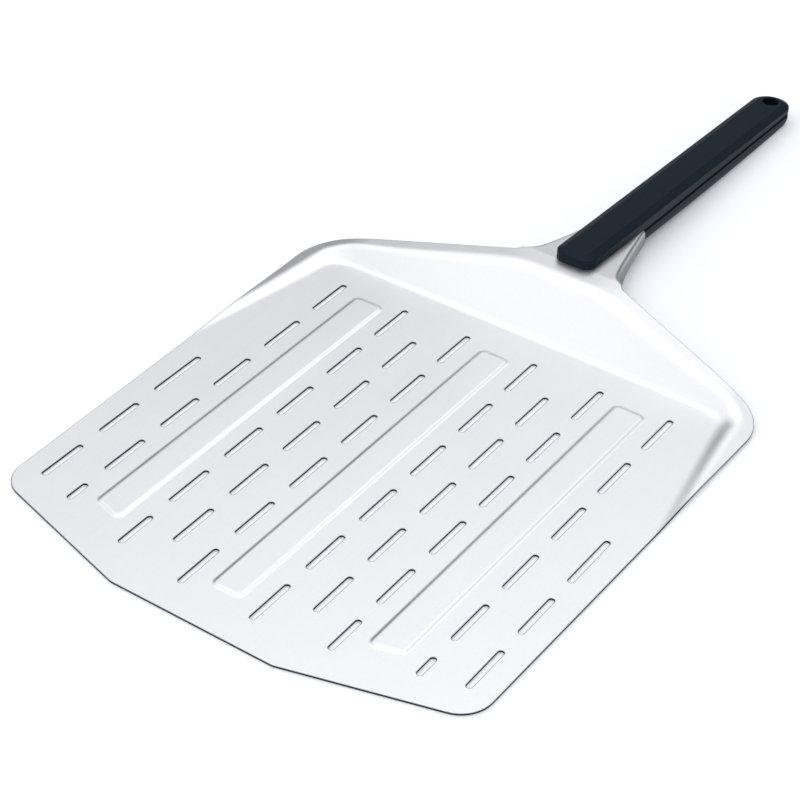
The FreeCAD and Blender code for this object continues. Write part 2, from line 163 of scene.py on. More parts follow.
TONGUE_BACK_R = 0.5
TONGUE_EDGE = 1.5
HANG_HOLE_Y = 394.0
HANG_HOLE_R = 7.0
HOLE_CHAMFER = 0.7
HOLE_CHAMFER_MIDDLE = 0.2
SCREW_Y = (172.0, 226.0, 280.0, 352.0)
SCREW_HOLE_R = 2.25
SCREW_SEAT_BELOW = 6.0
COUNTERBORE_R = 4.1
COUNTERBORE_CHAMFER = 0.4
TANG_END_Y = 305.0

# How finely the meshes are cut
CUT_EDGE_R = 0.2          # softened corner of every cut edge
EDGE_BAND = 0.8           # width of the band beside a cut edge
EDGE_SHADE = 0.75         # share of the cut edges' painted shade at the inner end of their softened corner
FLAT_GRID = 14.0
RAISED_GRID = 3.0
NECK_GRID = 1.6
GRID_ROW = 0.87           # rows of a grid against its spacing
BLADE_GRID_HALF = 206.0
NECK_GRID_HALF = 60.0
NECK_ZONE_HALF = 56.0
NECK_ZONE_LEAD = 6.0      # finest points from this far in front of the flanges
NECK_ZONE_BACK_Y = 152.5
RAISED_REACH = 8.0        # how far round a point the raised sheet counts as near
RAISED_LEAST = 1e-3
MERGE = 1e-4              # points closer than this become one
SLIVER = 1e-6             # twice the area of a triangle too thin to keep
OPENING_MARGIN = 6.0      # box round an opening in which its distance is measured
OPENING_GAP = 1.0         # clear of points beyond an opening's edge band
FRONT_CORNER_STEPS = 8
END_STEPS = 32
CIRCLE_STEPS = 32
OUTLINE_STEP = 4.0
ARC_STEP = math.radians(9)
SIDE_STEP = 12.0


# ---------------------------------------------------------------- outlines

def rounded_loop(corners, step=None):
    """Closed loop through (x, y, radius) corners; straight runs are divided where a step is given."""
    spots = [Vector((x, y)) for x, y, _ in corners]
    loop = []
    for i, (_, _, radius) in enumerate(corners):
        here = spots[i]
        into = (spots[i - 1] - here).normalized()
        out = (spots[(i + 1) % len(corners)] - here).normalized()
        half = into.angle(out) / 2
        start = here + into * (radius / math.tan(half))
        centre = here + (into + out).normalized() * (radius / math.sin(half))
        count = max(1, math.ceil((math.pi - 2 * half) / ARC_STEP))
        turn = math.pi - 2 * half
        side = 1 if into.x * out.y - into.y * out.x < 0 else -1
        arc = []
        for k in range(count + 1):
            spun = Matrix.Rotation(side * turn * k / count, 2) @ (start - centre)
            arc.append(centre + spun)
        if loop and step:
            loop += divided(loop[-1], arc[0], step)
        loop += arc
    if step:
        loop += divided(loop[-1], loop[0], step)
    return [tuple(p) for p in loop]


def divided(start, end, step):
    """Points between two ends, no more than a step apart."""
    count = math.ceil((end - start).length / step)
    return [start.lerp(end, k / count) for k in range(1, count)]


def mirrored(half):
    """The right-hand half and its mirror image, as one loop of (x, y, radius) corners."""
    return list(half) + [(-x, y, radius) for x, y, radius in reversed(half)]


def moved_sides(corners, distance):
    """Move each side of a convex anticlockwise outline outwards by the distance."""
    moved = []
    for i, (x, y, radius) in enumerate(corners):
        before = Vector(corners[i - 1][:2])
        after = Vector(corners[(i + 1) % len(corners)][:2])
        into = (Vector((x, y)) - before).normalized()
        out = (after - Vector((x, y))).normalized()
        normal_in = Vector((into.y, -into.x))
        normal_out = Vector((out.y, -out.x))
        shift = (normal_in + normal_out) * (distance / (1 + normal_in.dot(normal_out)))
        moved.append((x + shift.x, y + shift.y, max(radius + distance, 0.0)))
    return moved


def beside(loop, distance):
    """The loop moved to its left, which is into the material."""
    points = np.array(loop)
    along = np.roll(points, -1, 0) - np.roll(points, 1, 0)
    along /= np.linalg.norm(along, axis=1)[:, None]
    return [tuple(p) for p in points + distance * np.stack([-along[:, 1], along[:, 0]], 1)]


def circle(y, radius):
    """Circle on the middle line, clockwise, so the material is on its left."""
    turns = [-2 * math.pi * k / CIRCLE_STEPS for k in range(CIRCLE_STEPS)]
    return [(radius * math.cos(t), y + radius * math.sin(t)) for t in turns]


def outline_distance(x, y, loop):
    """Distance to a closed loop, negative inside it."""
    nearest = np.full(np.shape(x), 1e9)
    inside = np.zeros(np.shape(x), bool)
    for (x1, y1), (x2, y2) in zip(loop, loop[1:] + loop[:1]):
        dx, dy = x2 - x1, y2 - y1
        share = np.clip(((x - x1) * dx + (y - y1) * dy) / (dx * dx + dy * dy + 1e-12), 0, 1)
        nearest = np.minimum(nearest, np.hypot(x - x1 - share * dx, y - y1 - share * dy))
        if y1 != y2:
            inside ^= ((y1 > y) != (y2 > y)) & (x < x1 + (y - y1) * dx / dy)
    return np.where(inside, -nearest, nearest)


# ---------------------------------------------------------------- pressed shape of the blade

def smooth_min(a, b, blend):
    """The lower of two heights, rounded where they are less than the blend apart."""
    return np.minimum(a, b) - np.maximum(blend - np.abs(a - b), 0.0) ** 2 / (4 * blend)


def smooth_max(a, b, blend):
    """The higher of two heights, rounded in the same way."""
    return -smooth_min(-a, -b, blend)


def neck_height(y):
    """Height of the neck's web and of the tang, before the sheet's own thickness."""
    return NECK_Z - NECK_FALL * np.maximum(y - NECK_FALL_Y, 0.0)


def pressed_height(side, y):
    """Rise of the pressing above the flat sheet, before the ribs and the neck's folds."""
    slope = RAMP_SLOPE + RAMP_STEEPENING * np.maximum(side - RAMP_MIDDLE_HALF, 0.0) ** 2
    floor_half = PAN_BACK_HALF - PAN_TAPER * (y - PAN_START_Y)
    wall = PAN_WALL_SLOPE * (side - floor_half)
    pan = smooth_max(0.0, smooth_max(slope * (y - FOLD_Y), wall, CORNER), BEND)
    shoulder = NECK_Z - SHOULDER_FALL_X * (side - SHOULDER_AT[0])
    shoulder = shoulder + SHOULDER_RISE_Y * (np.maximum(y, SHOULDER_FRONT_Y) - SHOULDER_AT[1])
    share = np.clip((y - PAN_START_Y) / RIM_RISE_LENGTH, 0.0, 1.0)
    rim_edge = RIM_EDGE_Z * share + CREST * (1 - share) ** 2
    rim = rim_edge + RIM_FALL * np.maximum(RIM_HALF - side, 0.0)
    outer = smooth_min(smooth_min(neck_height(y), shoulder, RIDGE), rim, RIDGE)
    return smooth_min(pan, outer, CREST)


def rib_corners():
    """The three ribs as convex anticlockwise outlines."""
    inner, outer = SIDE_RIB_X
    front, back = SIDE_RIB_Y
    right = [(inner, front), (outer, front + SIDE_RIB_SLANT), (outer, back), (inner, back)]
    left = [(-x, y) for x, y in reversed(right)]
    half = CENTRE_RIB_HALF
    front, back = CENTRE_RIB_Y
    centre = [(-half, front), (half, front), (half, back), (-half, back)]
    return [[(x, y, RIB_CORNER_R) for x, y in outline] for outline in (left, centre, right)]


RIB_CORES = [[c[:2] for c in moved_sides(corners, -RIB_CORNER_R)] for corners in rib_corners()]


def rib_height(x, y):
    """Rise of the ribs, with smooth flanks."""
    height = np.zeros(np.shape(x))
    for core in RIB_CORES:
        share = np.clip((RIB_CORNER_R - outline_distance(x, y, core)) / RIB_FLANK, 0, 1)
        height = np.maximum(height, RIB_HEIGHT * share * share * (3 - 2 * share))
    return height


def fold_line(y):
    """Half width of the neck at the middle of its folds."""
    ahead = np.minimum(FOLD_FLARE_Y - y, FOLD_FLARE_LIMIT)
    flare = FOLD_FLARE * np.exp(ahead / FOLD_FLARE_LENGTH)
    return FOLD_BACK_HALF + FOLD_SPREAD * np.maximum(FOLD_BACK_Y - y, 0.0) + flare


def flange_shade_share(u, y):
    """How much painted shade a point of the unfolded sheet gets on a flange: 0 on the web, 1 past the
    bend.
    """
    past = np.clip((np.abs(u) - fold_line(y)) / (2 * FLANGE_BEND_R) + FLANGE_SHADE_ON_FOLD, 0.0, 1.0)
    turned = np.clip((y - FLANGE_START_Y - FLANGE_SHADE_START) / FLANGE_SHADE_RISE_LENGTH, 0.0, 1.0)
    return past * turned * (y < FOLD_BACK_Y + FLANGE_SHADE_END)


def sheet_top(u, y):
    """Where a point of the unfolded sheet's top face lies once the neck's sides are turned down."""
    side = np.abs(u)
    angle = FLANGE_TURN * (1 - np.exp(-np.maximum(y - FLANGE_START_Y, 0.0) / FLANGE_TURN_LENGTH))
    start = fold_line(y) - FLANGE_BEND_R * np.tan(angle / 2)
    turned = np.clip((side - start) / FLANGE_BEND_R, 0.0, angle)
    beyond = np.maximum(side - start - FLANGE_BEND_R * angle, 0.0)
    x = np.minimum(side, start) + FLANGE_BEND_R * np.sin(turned) + beyond * np.cos(angle)
    drop = FLANGE_BEND_R * (1 - np.cos(turned)) + beyond * np.sin(angle)
    z = SHEET + pressed_height(side, y) + rib_height(u, y) - drop
    return np.stack([x * np.sign(u), y, z], -1)


def sheet_normal(u, y):
    """Upward normal of the sheet's top face, from points close by."""
    reach = 0.05
    across = sheet_top(u + reach, y) - sheet_top(u - reach, y)
    along = sheet_top(u, y + reach) - sheet_top(u, y - reach)
    normal = np.cross(across, along)
    return normal / np.linalg.norm(normal, axis=-1)[..., None]


# ---------------------------------------------------------------- mesh helpers

def triangulated(loops, points, keep):
    """Triangles between the loops and through the points; keep says which centres stay.

    Returns the points used, the triangles, and where each loop's points ended up."""
    coords, edges, spans = [], [], []
    for loop in loops:
        first = len(coords)
        count = len(loop)
        coords += loop
        edges += [(first + k, first + (k + 1) % count) for k in range(count)]
        spans.append(range(first, first + count))
    coords += points
    result = geometry.delaunay_2d_cdt([Vector(c) for c in coords], edges, [], 0, MERGE)
    found = {source: i for i, sources in enumerate(result[3]) for source in sources}
    flat = np.array([tuple(v) for v in result[0]])
    faces = np.array([tuple(f) for f in result[2]])
    centres = flat[faces].mean(1)
    faces = faces[keep(centres[:, 0], centres[:, 1])]
    a, b, c = (flat[faces[:, k]] for k in range(3))
    turn = (b[:, 0] - a[:, 0]) * (c[:, 1] - a[:, 1]) - (b[:, 1] - a[:, 1]) * (c[:, 0] - a[:, 0])
    faces[turn < 0] = faces[turn < 0][:, ::-1]
    faces = faces[np.abs(turn) > SLIVER]
    return flat, faces, [[found[k] for k in span] for span in spans]


class Builder:
    """Collects vertices and faces for one mesh, in millimetres."""

    def __init__(self):
        self.points = []
        self.faces = []

    def add(self, points):
        first = len(self.points)
        self.points += [tuple(float(v) for v in p) for p in points]
        return list(range(first, first + len(points)))

    def bridge(self, ring, following):
        """Quads from one ring to the one below it, facing outwards when the rings run anticlockwise."""
        count = len(ring)
        for k in range(count):
            after = (k + 1) % count
            self.faces.append((ring[k], following[k], following[after], ring[after]))

    def stack(self, rings):
        """Quads between each ring and the next."""
        for ring, following in zip(rings, rings[1:]):
            self.bridge(ring, following)

    def piece(self, name, material, nodes):
        """The finished object, and which of the collected vertices it uses."""
        used = sorted({v for face in self.faces for v in face})
        renumbered = {old: new for new, old in enumerate(used)}
        mesh = bpy.data.meshes.new(name)
        spots = [[MM * v for v in self.points[i]] for i in used]
        mesh.from_pydata(spots, [], [[renumbered[v] for v in face] for face in self.faces])
        mesh.validate()
        mesh.polygons.foreach_set("use_smooth", [True] * len(mesh.polygons))
        mesh.materials.append(material)
        obj = bpy.data.objects.new(name, mesh)
        bpy.context.collection.objects.link(obj)
        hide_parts(*nodes)
        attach(obj, "root")
        return obj, used


# ---------------------------------------------------------------- blade

def slot_loops():
    """All the slots as clockwise loops, so the sheet is on their left."""
    radius = SLOT_HALF - 1e-3    # just short of half round, so that no two points fall together
    loops = []
    for x, back_y, length, count in SLOT_COLUMNS:
        for row in range(count):
            back = back_y - row * SLOT_PITCH
            for middle in (-x, x):
                corners = [
                    (middle - SLOT_HALF, back, radius),
                    (middle + SLOT_HALF, back, radius),
                    (middle + SLOT_HALF, back - length, radius),
                    (middle - SLOT_HALF, back - length, radius),
                ]
                loops.append(rounded_loop(corners))
    return loops


def grid(spacing, x_half, y_low, y_high):
    """Staggered points, so the triangles come out even."""
    rows = np.arange(y_low, y_high, spacing * GRID_ROW)
    columns = np.arange(-x_half, x_half + spacing, spacing)
    x, y = np.meshgrid(columns, rows)
    x[1::2] += spacing / 2
    return x.ravel(), y.ravel()


def is_raised(x, y):
    """Whether the sheet leaves its flat floor somewhere near the point."""
    shifts = (-RAISED_REACH, 0.0, RAISED_REACH)
    around = [pressed_height(np.abs(x + dx), y + dy) for dx in shifts for dy in shifts]
    return np.max(np.abs(around), axis=0) > RAISED_LEAST


def blade_points(outline, openings):
    """Points inside the sheet: coarse on flats, finer where it is raised, finest in the neck."""
    found = []
    neck_low = FLANGE_START_Y - NECK_ZONE_LEAD
    for spacing, zone in ((FLAT_GRID, "flat"), (RAISED_GRID, "raised"), (NECK_GRID, "neck")):
        reach = NECK_GRID_HALF if zone == "neck" else BLADE_GRID_HALF
        x, y = grid(spacing, reach, FRONT_Y, TANG_END_Y)
        in_neck = (y > neck_low) & (y < NECK_ZONE_BACK_Y) & (np.abs(x) < NECK_ZONE_HALF)
        tang = y >= NECK_ZONE_BACK_Y
        raised = is_raised(x, y) & ~tang
        if zone == "neck":
            chosen = in_neck
        elif zone == "raised":
            chosen = raised & ~in_neck
        else:
            chosen = ~raised & ~in_neck
        x, y = x[chosen], y[chosen]
        clear = outline_distance(x, y, outline) < -(EDGE_BAND + spacing / 3)
        x, y = x[clear], y[clear]
        far = np.ones(len(x), bool)
        for loop in openings:
            spots = np.array(loop)
            low = spots.min(0) - OPENING_MARGIN
            high = spots.max(0) + OPENING_MARGIN
            near = (x > low[0]) & (x < high[0]) & (y > low[1]) & (y < high[1])
            gap = outline_distance(x[near], y[near], loop)
            far[np.flatnonzero(near)[gap < EDGE_BAND + OPENING_GAP]] = False
        found += list(zip(x[far].tolist(), y[far].tolist()))
    return found


def rib_rings():
    """Lines of vertices that follow the ribs' flanks."""
    return [
        rounded_loop(moved_sides(corners, -inset))
        for corners in rib_corners()
        for inset in RIB_RING_INSETS
    ]


def sheet_test(outline, openings):
    """A test for points on the sheet: inside the outline and outside every opening."""
    boxes = [(loop, np.array(loop).min(0), np.array(loop).max(0)) for loop in openings]

    def is_sheet(x, y):
        inside = outline_distance(x, y, outline) < 0
        for loop, low, high in boxes:
            near = np.flatnonzero((x > low[0]) & (x < high[0]) & (y > low[1]) & (y < high[1]))
            inside[near[outline_distance(x[near], y[near], loop) < 0]] = False
        return inside

    return is_sheet


def blade(material):
    """The pressing, from its unfolded plan: top and bottom face, softened corners and cut edges."""
    outline = rounded_loop(mirrored(BLADE_HALF), OUTLINE_STEP)
    openings = slot_loops() + [circle(y, SCREW_HOLE_R) for y in SCREW_Y if y < TANG_END_Y]
    cuts = [outline] + openings
    shoulders = [beside(loop, CUT_EDGE_R) for loop in cuts]
    bands = [beside(loop, EDGE_BAND) for loop in cuts]
    flat, faces, spots = triangulated(
        shoulders + bands + rib_rings(),
        blade_points(outline, openings),
        sheet_test(shoulders[0], shoulders[1:]),
    )
    top = sheet_top(flat[:, 0], flat[:, 1])
    normal = sheet_normal(flat[:, 0], flat[:, 1])
    built = Builder()
    upper = built.add(top)
    lower = built.add(top - SHEET * normal)
    normals = list(normal) + list(-normal)
    # painted shade of the cut edges, per vertex: full on their walls, EDGE_SHADE at the inner end of
    # their softened corners
    edge = [0.0] * (2 * len(top))
    # painted shade on the flanges, per vertex
    painted_flange_shade = list(flange_shade_share(flat[:, 0], flat[:, 1])) * 2
    built.faces += [tuple(face) for face in faces.tolist()]
    built.faces += [tuple(len(top) + v for v in reversed(face)) for face in faces.tolist()]
    for loop, spot in zip(cuts, spots):
        for k in spot:
            edge[upper[k]] = EDGE_SHADE
        u, y = np.array(loop).T
        rim = sheet_top(u, y)
        rim_normal = sheet_normal(u, y)
        outward = rim - top[spot]
        outward -= (outward * rim_normal).sum(1)[:, None] * rim_normal
        outward /= np.linalg.norm(outward, axis=1)[:, None]
        high = built.add(rim - CUT_EDGE_R * rim_normal)
        low = built.add(rim - (SHEET - CUT_EDGE_R) * rim_normal)
        normals += list(outward) * 2
        edge += [1.0] * (2 * len(loop))
        painted_flange_shade += [0.0] * (2 * len(loop))
        built.bridge([upper[k] for k in spot], high)
        built.bridge(high, low)
        built.bridge(low, [lower[k] for k in spot])
    obj, used = built.piece("pressed_blade", material, ["blade"])
    for name, values in (("cut_edge_painted_shade", edge), ("painted_flange_shade", painted_flange_shade)):
        stored = obj.data.attributes.new(name, "FLOAT", "POINT")
        stored.data.foreach_set("value", [values[i] for i in used])
    obj.data.normals_split_custom_set_from_vertices([tuple(normals[i]) for i in used])


# ---------------------------------------------------------------- handle

def grip_top(y):
    """Height of the handle's top."""
    return GRIP_TOP_FRONT_Z - GRIP_TOP_FALL * (y - GRIP_FRONT_Y)


def parting(y):
    """Joint between the two halves: along the tang, then flatter to the end."""
    along_tang = SHEET + NECK_Z - NECK_FALL * max(min(y, PARTING_KINK_Y) - NECK_FALL_Y, 0.0)
    return along_tang - PARTING_FALL * max(y - PARTING_KINK_Y, 0.0)


def belly(y):
    """Underside of the handle, level behind the last of the three heights."""
    (y1, z1), (y2, z2), (y3, z3) = BELLY
    y = min(y, y3)
    first = (z2 - z1) / (y2 - y1)
    bend = ((z3 - z2) / (y3 - y2) - first) / (y3 - y1)
    return z1 + first * (y - y1) + bend * (y - y1) * (y - y2)


def grip_plan(front_y, front_r, inset):
    """Anticlockwise plan of the handle, set in by a distance: square front, half-round end."""
    half = GRIP_HALF - inset
    radius = max(front_r - inset, CORNER_LEAST_R)
    turn_y = END_Y - GRIP_HALF
    front = front_y + inset
    side = np.linspace(front + radius, turn_y, round((turn_y - front_y) / SIDE_STEP))[1:-1]
    right = []
    for k in range(FRONT_CORNER_STEPS + 1):
        turn = math.pi / 2 * k / FRONT_CORNER_STEPS
        right.append((half - radius + radius * math.sin(turn), front + radius - radius * math.cos(turn)))
    right += [(half, y) for y in side.tolist()]
    end = []
    for k in range(END_STEPS + 1):
        turn = math.pi * k / END_STEPS
        end.append((half * math.cos(turn), turn_y + half * math.sin(turn)))
    return right + end + [(-x, y) for x, y in reversed(right)]


def rounded_profile(points, radius):
    """An open profile with its inner corners rounded."""
    path = [points[0]]
    for before, here, after in zip(points, points[1:], points[2:]):
        here = Vector(here)
        into = (Vector(before) - here).normalized()
        out = (Vector(after) - here).normalized()
        half = into.angle(out) / 2
        reach = radius / math.tan(half)
        start, end = here + into * reach, here + out * reach
        for share in (0.0, 0.25, 0.5, 0.75, 1.0):
            path.append(tuple(start.lerp(here, share).lerp(here.lerp(end, share), share)))
    return path + [points[-1]]


def plan_rings(built, front_y, front_r, steps):
    """Joined rings on the handle's plan; each step is (inset, height function, offset)."""
    rings = []
    for inset, height, offset in steps:
        plan = grip_plan(front_y, front_r, inset)
        rings.append(built.add([(x, y, height(y) + offset) for x, y in plan]))
    built.stack(rings)
    return rings


def cap(built, plan, ring, holes, height, faces_up):
    """Close a ring with a face that has holes in it; returns the rings round the holes."""
    def keep(x, y):
        inside = outline_distance(x, y, plan) < 0
        for hole in holes:
            inside &= outline_distance(x, y, hole) > 0
        return inside

    flat, faces, spots = triangulated([plan] + holes, [], keep)
    place = dict(zip(spots[0], ring))
    others = [k for k in range(len(flat)) if k not in place]
    placed = built.add([(flat[k][0], flat[k][1], height(float(flat[k][1]))) for k in others])
    place.update(zip(others, placed))
    for face in faces.tolist():
        corners = face if faces_up else face[::-1]
        built.faces.append(tuple(place[v] for v in corners))
    return [[place[k] for k in spot] for spot in spots[1:]]


def hole_wall(built, ring, y, steps):
    """Wall of a hole down from its ring; each step is (radius, height). Returns the last ring."""
    for radius, z in steps:
        following = built.add([(px, py, z) for px, py in circle(y, radius)])
        built.bridge(ring, following)
        ring = following
    return ring


def finish_grip(obj):
    """Shade a handle half evenly over its rounded edges."""
    obj.modifiers.new("edge shading", "WEIGHTED_NORMAL").keep_sharp = True


def upper_grip(material):
    """Upper half, from the flat top out over the chamfer and down to the parting."""
    built = Builder()
    across, down = GRIP_CHAMFER
    profile = rounded_profile(
        [(0.0, -down - CHAMFER_DROP), (0.0, -down), (across, 0.0), (across + CHAMFER_RUN, 0.0)],
        GRIP_EDGE_R,
    )
    steps = [(inset, grip_top, offset) for inset, offset in reversed(profile)]
    steps += [(inset, parting, offset) for inset, offset in UPPER_PARTING_EDGE]
    rings = plan_rings(built, GRIP_FRONT_Y, GRIP_FRONT_R, steps)
    mouth = circle(HANG_HOLE_Y, HANG_HOLE_R + HOLE_CHAMFER)
    bore = circle(HANG_HOLE_Y, HANG_HOLE_R)
    top_plan = grip_plan(GRIP_FRONT_Y, GRIP_FRONT_R, steps[0][0])
    low_plan = grip_plan(GRIP_FRONT_Y, GRIP_FRONT_R, steps[-1][0])
    mouth_ring = cap(built, top_plan, rings[0], [mouth], grip_top, True)[0]
    bore_ring = cap(built, low_plan, rings[-1], [bore], parting, False)[0]
    lip = grip_top(HANG_HOLE_Y)
    wall = hole_wall(built, mouth_ring, HANG_HOLE_Y, [
        (HANG_HOLE_R + HOLE_CHAMFER_MIDDLE, lip - HOLE_CHAMFER_MIDDLE),
        (HANG_HOLE_R, lip - HOLE_CHAMFER),
    ])
    built.bridge(wall, bore_ring)
    finish_grip(built.piece("upper_grip", material, ["upper_grip_shell"])[0])


def lower_grip(material):
    """Lower half, from its raised lip down past the shadow gap to the belly."""
    built = Builder()
    across, up = LOWER_CHAMFER
    profile = rounded_profile(
        [(0.0, up + CHAMFER_RUN), (0.0, up), (across, 0.0), (across + CHAMFER_RUN, 0.0)],
        LOWER_EDGE_R,
    )
    steps = [(LIP_INSET, parting, 0.0), (LIP_INSET, parting, -SHADOW_GAP)]
    steps += [(inset, parting, -SHADOW_GAP - below) for inset, below in LOWER_LEDGE_EDGE]
    steps += [(inset, belly, offset) for inset, offset in profile]
    rings = plan_rings(built, LOWER_FRONT_Y, LOWER_FRONT_R, steps)
    top_plan = grip_plan(LOWER_FRONT_Y, LOWER_FRONT_R, steps[0][0])
    low_plan = grip_plan(LOWER_FRONT_Y, LOWER_FRONT_R, steps[-1][0])
    bore = circle(HANG_HOLE_Y, HANG_HOLE_R)
    bore_ring = cap(built, top_plan, rings[0], [bore], parting, True)[0]
    mouths = [circle(y, COUNTERBORE_R + COUNTERBORE_CHAMFER) for y in SCREW_Y]
    mouths.append(circle(HANG_HOLE_Y, HANG_HOLE_R + HOLE_CHAMFER))
    mouth_rings = cap(built, low_plan, rings[-1], mouths, belly, False)
    wall = hole_wall(built, bore_ring, HANG_HOLE_Y, [
        (HANG_HOLE_R, HOLE_CHAMFER),
        (HANG_HOLE_R + HOLE_CHAMFER_MIDDLE, HOLE_CHAMFER_MIDDLE),
    ])
    built.bridge(wall, mouth_rings[-1])
    for y, ring in zip(SCREW_Y, mouth_rings):
        counterbore(built, y, ring)
    tongue(built)
    finish_grip(built.piece("lower_grip", material, ["lower_grip_shell"])[0])


def counterbore(built, y, mouth):
    """Blind hole for a screw's head, up from its mouth in the belly."""
    joint = SHEET + float(neck_height(y)) if y < TANG_END_Y else parting(y)
    seat = joint - SCREW_SEAT_BELOW
    low = belly(y) + COUNTERBORE_CHAMFER
    inner = built.add([(px, py, low) for px, py in circle(y, COUNTERBORE_R)])
    back = built.add([(px, py, seat) for px, py in circle(y, COUNTERBORE_R)])
    built.bridge(inner, mouth)
    built.bridge(back, inner)
    built.faces.append(tuple(back))


def tongue(built):
    """Part of the lower half that reaches forward between the neck's flanges."""
    front, back = TONGUE_Y
    corners = [
        (TONGUE_HALF, front, TONGUE_FRONT_R),
        (TONGUE_HALF, back, TONGUE_BACK_R),
        (-TONGUE_HALF, back, TONGUE_BACK_R),
        (-TONGUE_HALF, front, TONGUE_FRONT_R),
    ]
    low, high = TONGUE_Z
    middle = TONGUE_EDGE * 0.3
    steps = [(0.0, high), (0.0, low + TONGUE_EDGE), (middle, low + middle), (TONGUE_EDGE, low)]
    rings = []
    for inset, z in steps:
        plan = rounded_loop(moved_sides(corners, -inset))
        rings.append(built.add([(x, y, z) for x, y in plan]))
    built.stack(rings)
    built.faces.append(tuple(rings[0]))
    built.faces.append(tuple(reversed(rings[-1])))


# ---------------------------------------------------------------- materials

class Nodes:
    """A new material and short ways to add nodes to it."""

    def __init__(self, name):
        self.material = bpy.data.materials.new(name)
        self.material.use_nodes = True
        self.tree = self.material.node_tree
        self.shader = self.tree.nodes["Principled BSDF"]
        self.spot = self.add("ShaderNodeTexCoord").outputs["Object"]

    def add(self, kind, **settings):
        node = self.tree.nodes.new(kind)
        for key, value in settings.items():
            setattr(node, key, value)
        return node

    def link(self, source, target):
        self.tree.links.new(source, target)

    def noise(self, scale, detail=2.0, stretch=(1, 1, 1)):
        """Noise with its features about 1/scale metres across, stretched along the axes."""
        mapping = self.add("ShaderNodeMapping")
        mapping.inputs["Scale"].default_value = stretch
        node = self.add("ShaderNodeTexNoise")
        node.inputs["Scale"].default_value = scale
        node.inputs["Detail"].default_value = detail
        self.link(self.spot, mapping.inputs["Vector"])
        self.link(mapping.outputs["Vector"], node.inputs["Vector"])
        return node.outputs["Fac"]

    def ranged(self, value, low, high, start=0.3, end=0.7):
        node = self.add("ShaderNodeMapRange")
        self.link(value, node.inputs["Value"])
        node.inputs["From Min"].default_value = start
        node.inputs["From Max"].default_value = end
        node.inputs["To Min"].default_value = low
        node.inputs["To Max"].default_value = high
        return node.outputs["Result"]

    def blend(self, share, first, second):
        """Mix of two colours; each may be a colour or another node's output."""
        node = self.add("ShaderNodeMix", data_type="RGBA")
        self.link(share, node.inputs["Factor"])
        for socket, colour in ((node.inputs["A"], first), (node.inputs["B"], second)):
            if isinstance(colour, tuple):
                socket.default_value = (*colour, 1)
            else:
                self.link(colour, socket)
        return node.outputs["Result"]

    def maths(self, operation, first, second):
        node = self.add("ShaderNodeMath", operation=operation)
        for socket, value in zip(node.inputs, (first, second)):
            if isinstance(value, (int, float)):
                socket.default_value = value
            else:
                self.link(value, socket)
        return node.outputs["Value"]

    def bump(self, height, strength, distance, after=None):
        node = self.add("ShaderNodeBump")
        node.inputs["Strength"].default_value = strength
        node.inputs["Distance"].default_value = distance
        self.link(height, node.inputs["Height"])
        if after is not None:
            self.link(after, node.inputs["Normal"])
        return node.outputs["Normal"]


def aluminium():
    """Satin anodised sheet: blasted grain over faint rolling lines, with painted shade: near-black cut
    edges and darker neck flanges.
    """
    made = Nodes("satin_aluminium")
    shader = made.shader
    grain = made.noise(1500, 3.0)
    fine = made.noise(5200, 1.0)
    rolling = made.noise(420, 2.0, (1.0, 0.03, 1.0))
    cloud = made.noise(11, 3.0)
    edge = made.add("ShaderNodeAttribute", attribute_name="cut_edge_painted_shade").outputs["Fac"]
    painted_flange_shade = made.add("ShaderNodeAttribute", attribute_name="painted_flange_shade").outputs["Fac"]
    tone = made.blend(made.ranged(cloud, 0.0, 1.0), (0.81, 0.815, 0.83), (0.85, 0.855, 0.865))
    tone = made.blend(made.ranged(grain, 0.0, 0.28), tone, (0.70, 0.71, 0.73))
    tone = made.blend(made.ranged(rolling, 0.0, 0.10), tone, (0.96, 0.96, 0.96))
    # painted shade: the neck's flanges darker, for the dark reflection they catch
    tone = made.blend(painted_flange_shade, tone, (0.25, 0.262, 0.28))
    # painted shade: cut edges and slot walls near-black and not metallic, for their shadow and the dark
    # gap under the sheet
    tone = made.blend(edge, tone, (0.008, 0.009, 0.012))
    rough = made.maths("ADD", made.ranged(cloud, 0.36, 0.41), made.ranged(grain, -0.03, 0.05))
    rough = made.maths("ADD", rough, made.ranged(rolling, -0.015, 0.02))
    made.link(tone, shader.inputs["Base Color"])
    made.link(rough, shader.inputs["Roughness"])
    made.link(made.maths("SUBTRACT", 1.0, edge), shader.inputs["Metallic"])
    shader.inputs["Specular IOR Level"].default_value = 0.1
    first = made.bump(grain, 0.22, 0.0002)
    made.link(made.bump(fine, 0.12, 0.0001, first), shader.inputs["Normal"])
    return made.material


def grip_plastic():
    """Dark blue-black moulding with a fine spark-eroded texture."""
    made = Nodes("moulded_grip")
    shader = made.shader
    pits = made.noise(2600, 2.0)
    flow = made.noise(60, 3.0, (1.0, 0.3, 1.0))
    dust = made.noise(700, 4.0)
    tone = made.blend(made.ranged(flow, 0.0, 1.0), (0.0017, 0.0054, 0.0120), (0.0025, 0.0072, 0.0150))
    tone = made.blend(made.ranged(dust, 0.0, 0.35, 0.55, 0.8), tone, (0.022, 0.026, 0.034))
    rough = made.maths("ADD", made.ranged(flow, 0.50, 0.58), made.ranged(pits, -0.05, 0.06))
    made.link(tone, shader.inputs["Base Color"])
    made.link(rough, shader.inputs["Roughness"])
    shader.inputs["Specular IOR Level"].default_value = 0.20
    shader.inputs["Specular Tint"].default_value = (0.72, 0.86, 1.0, 1)
    made.link(made.bump(pits, 0.3, 0.00012), shader.inputs["Normal"])
    return made.material


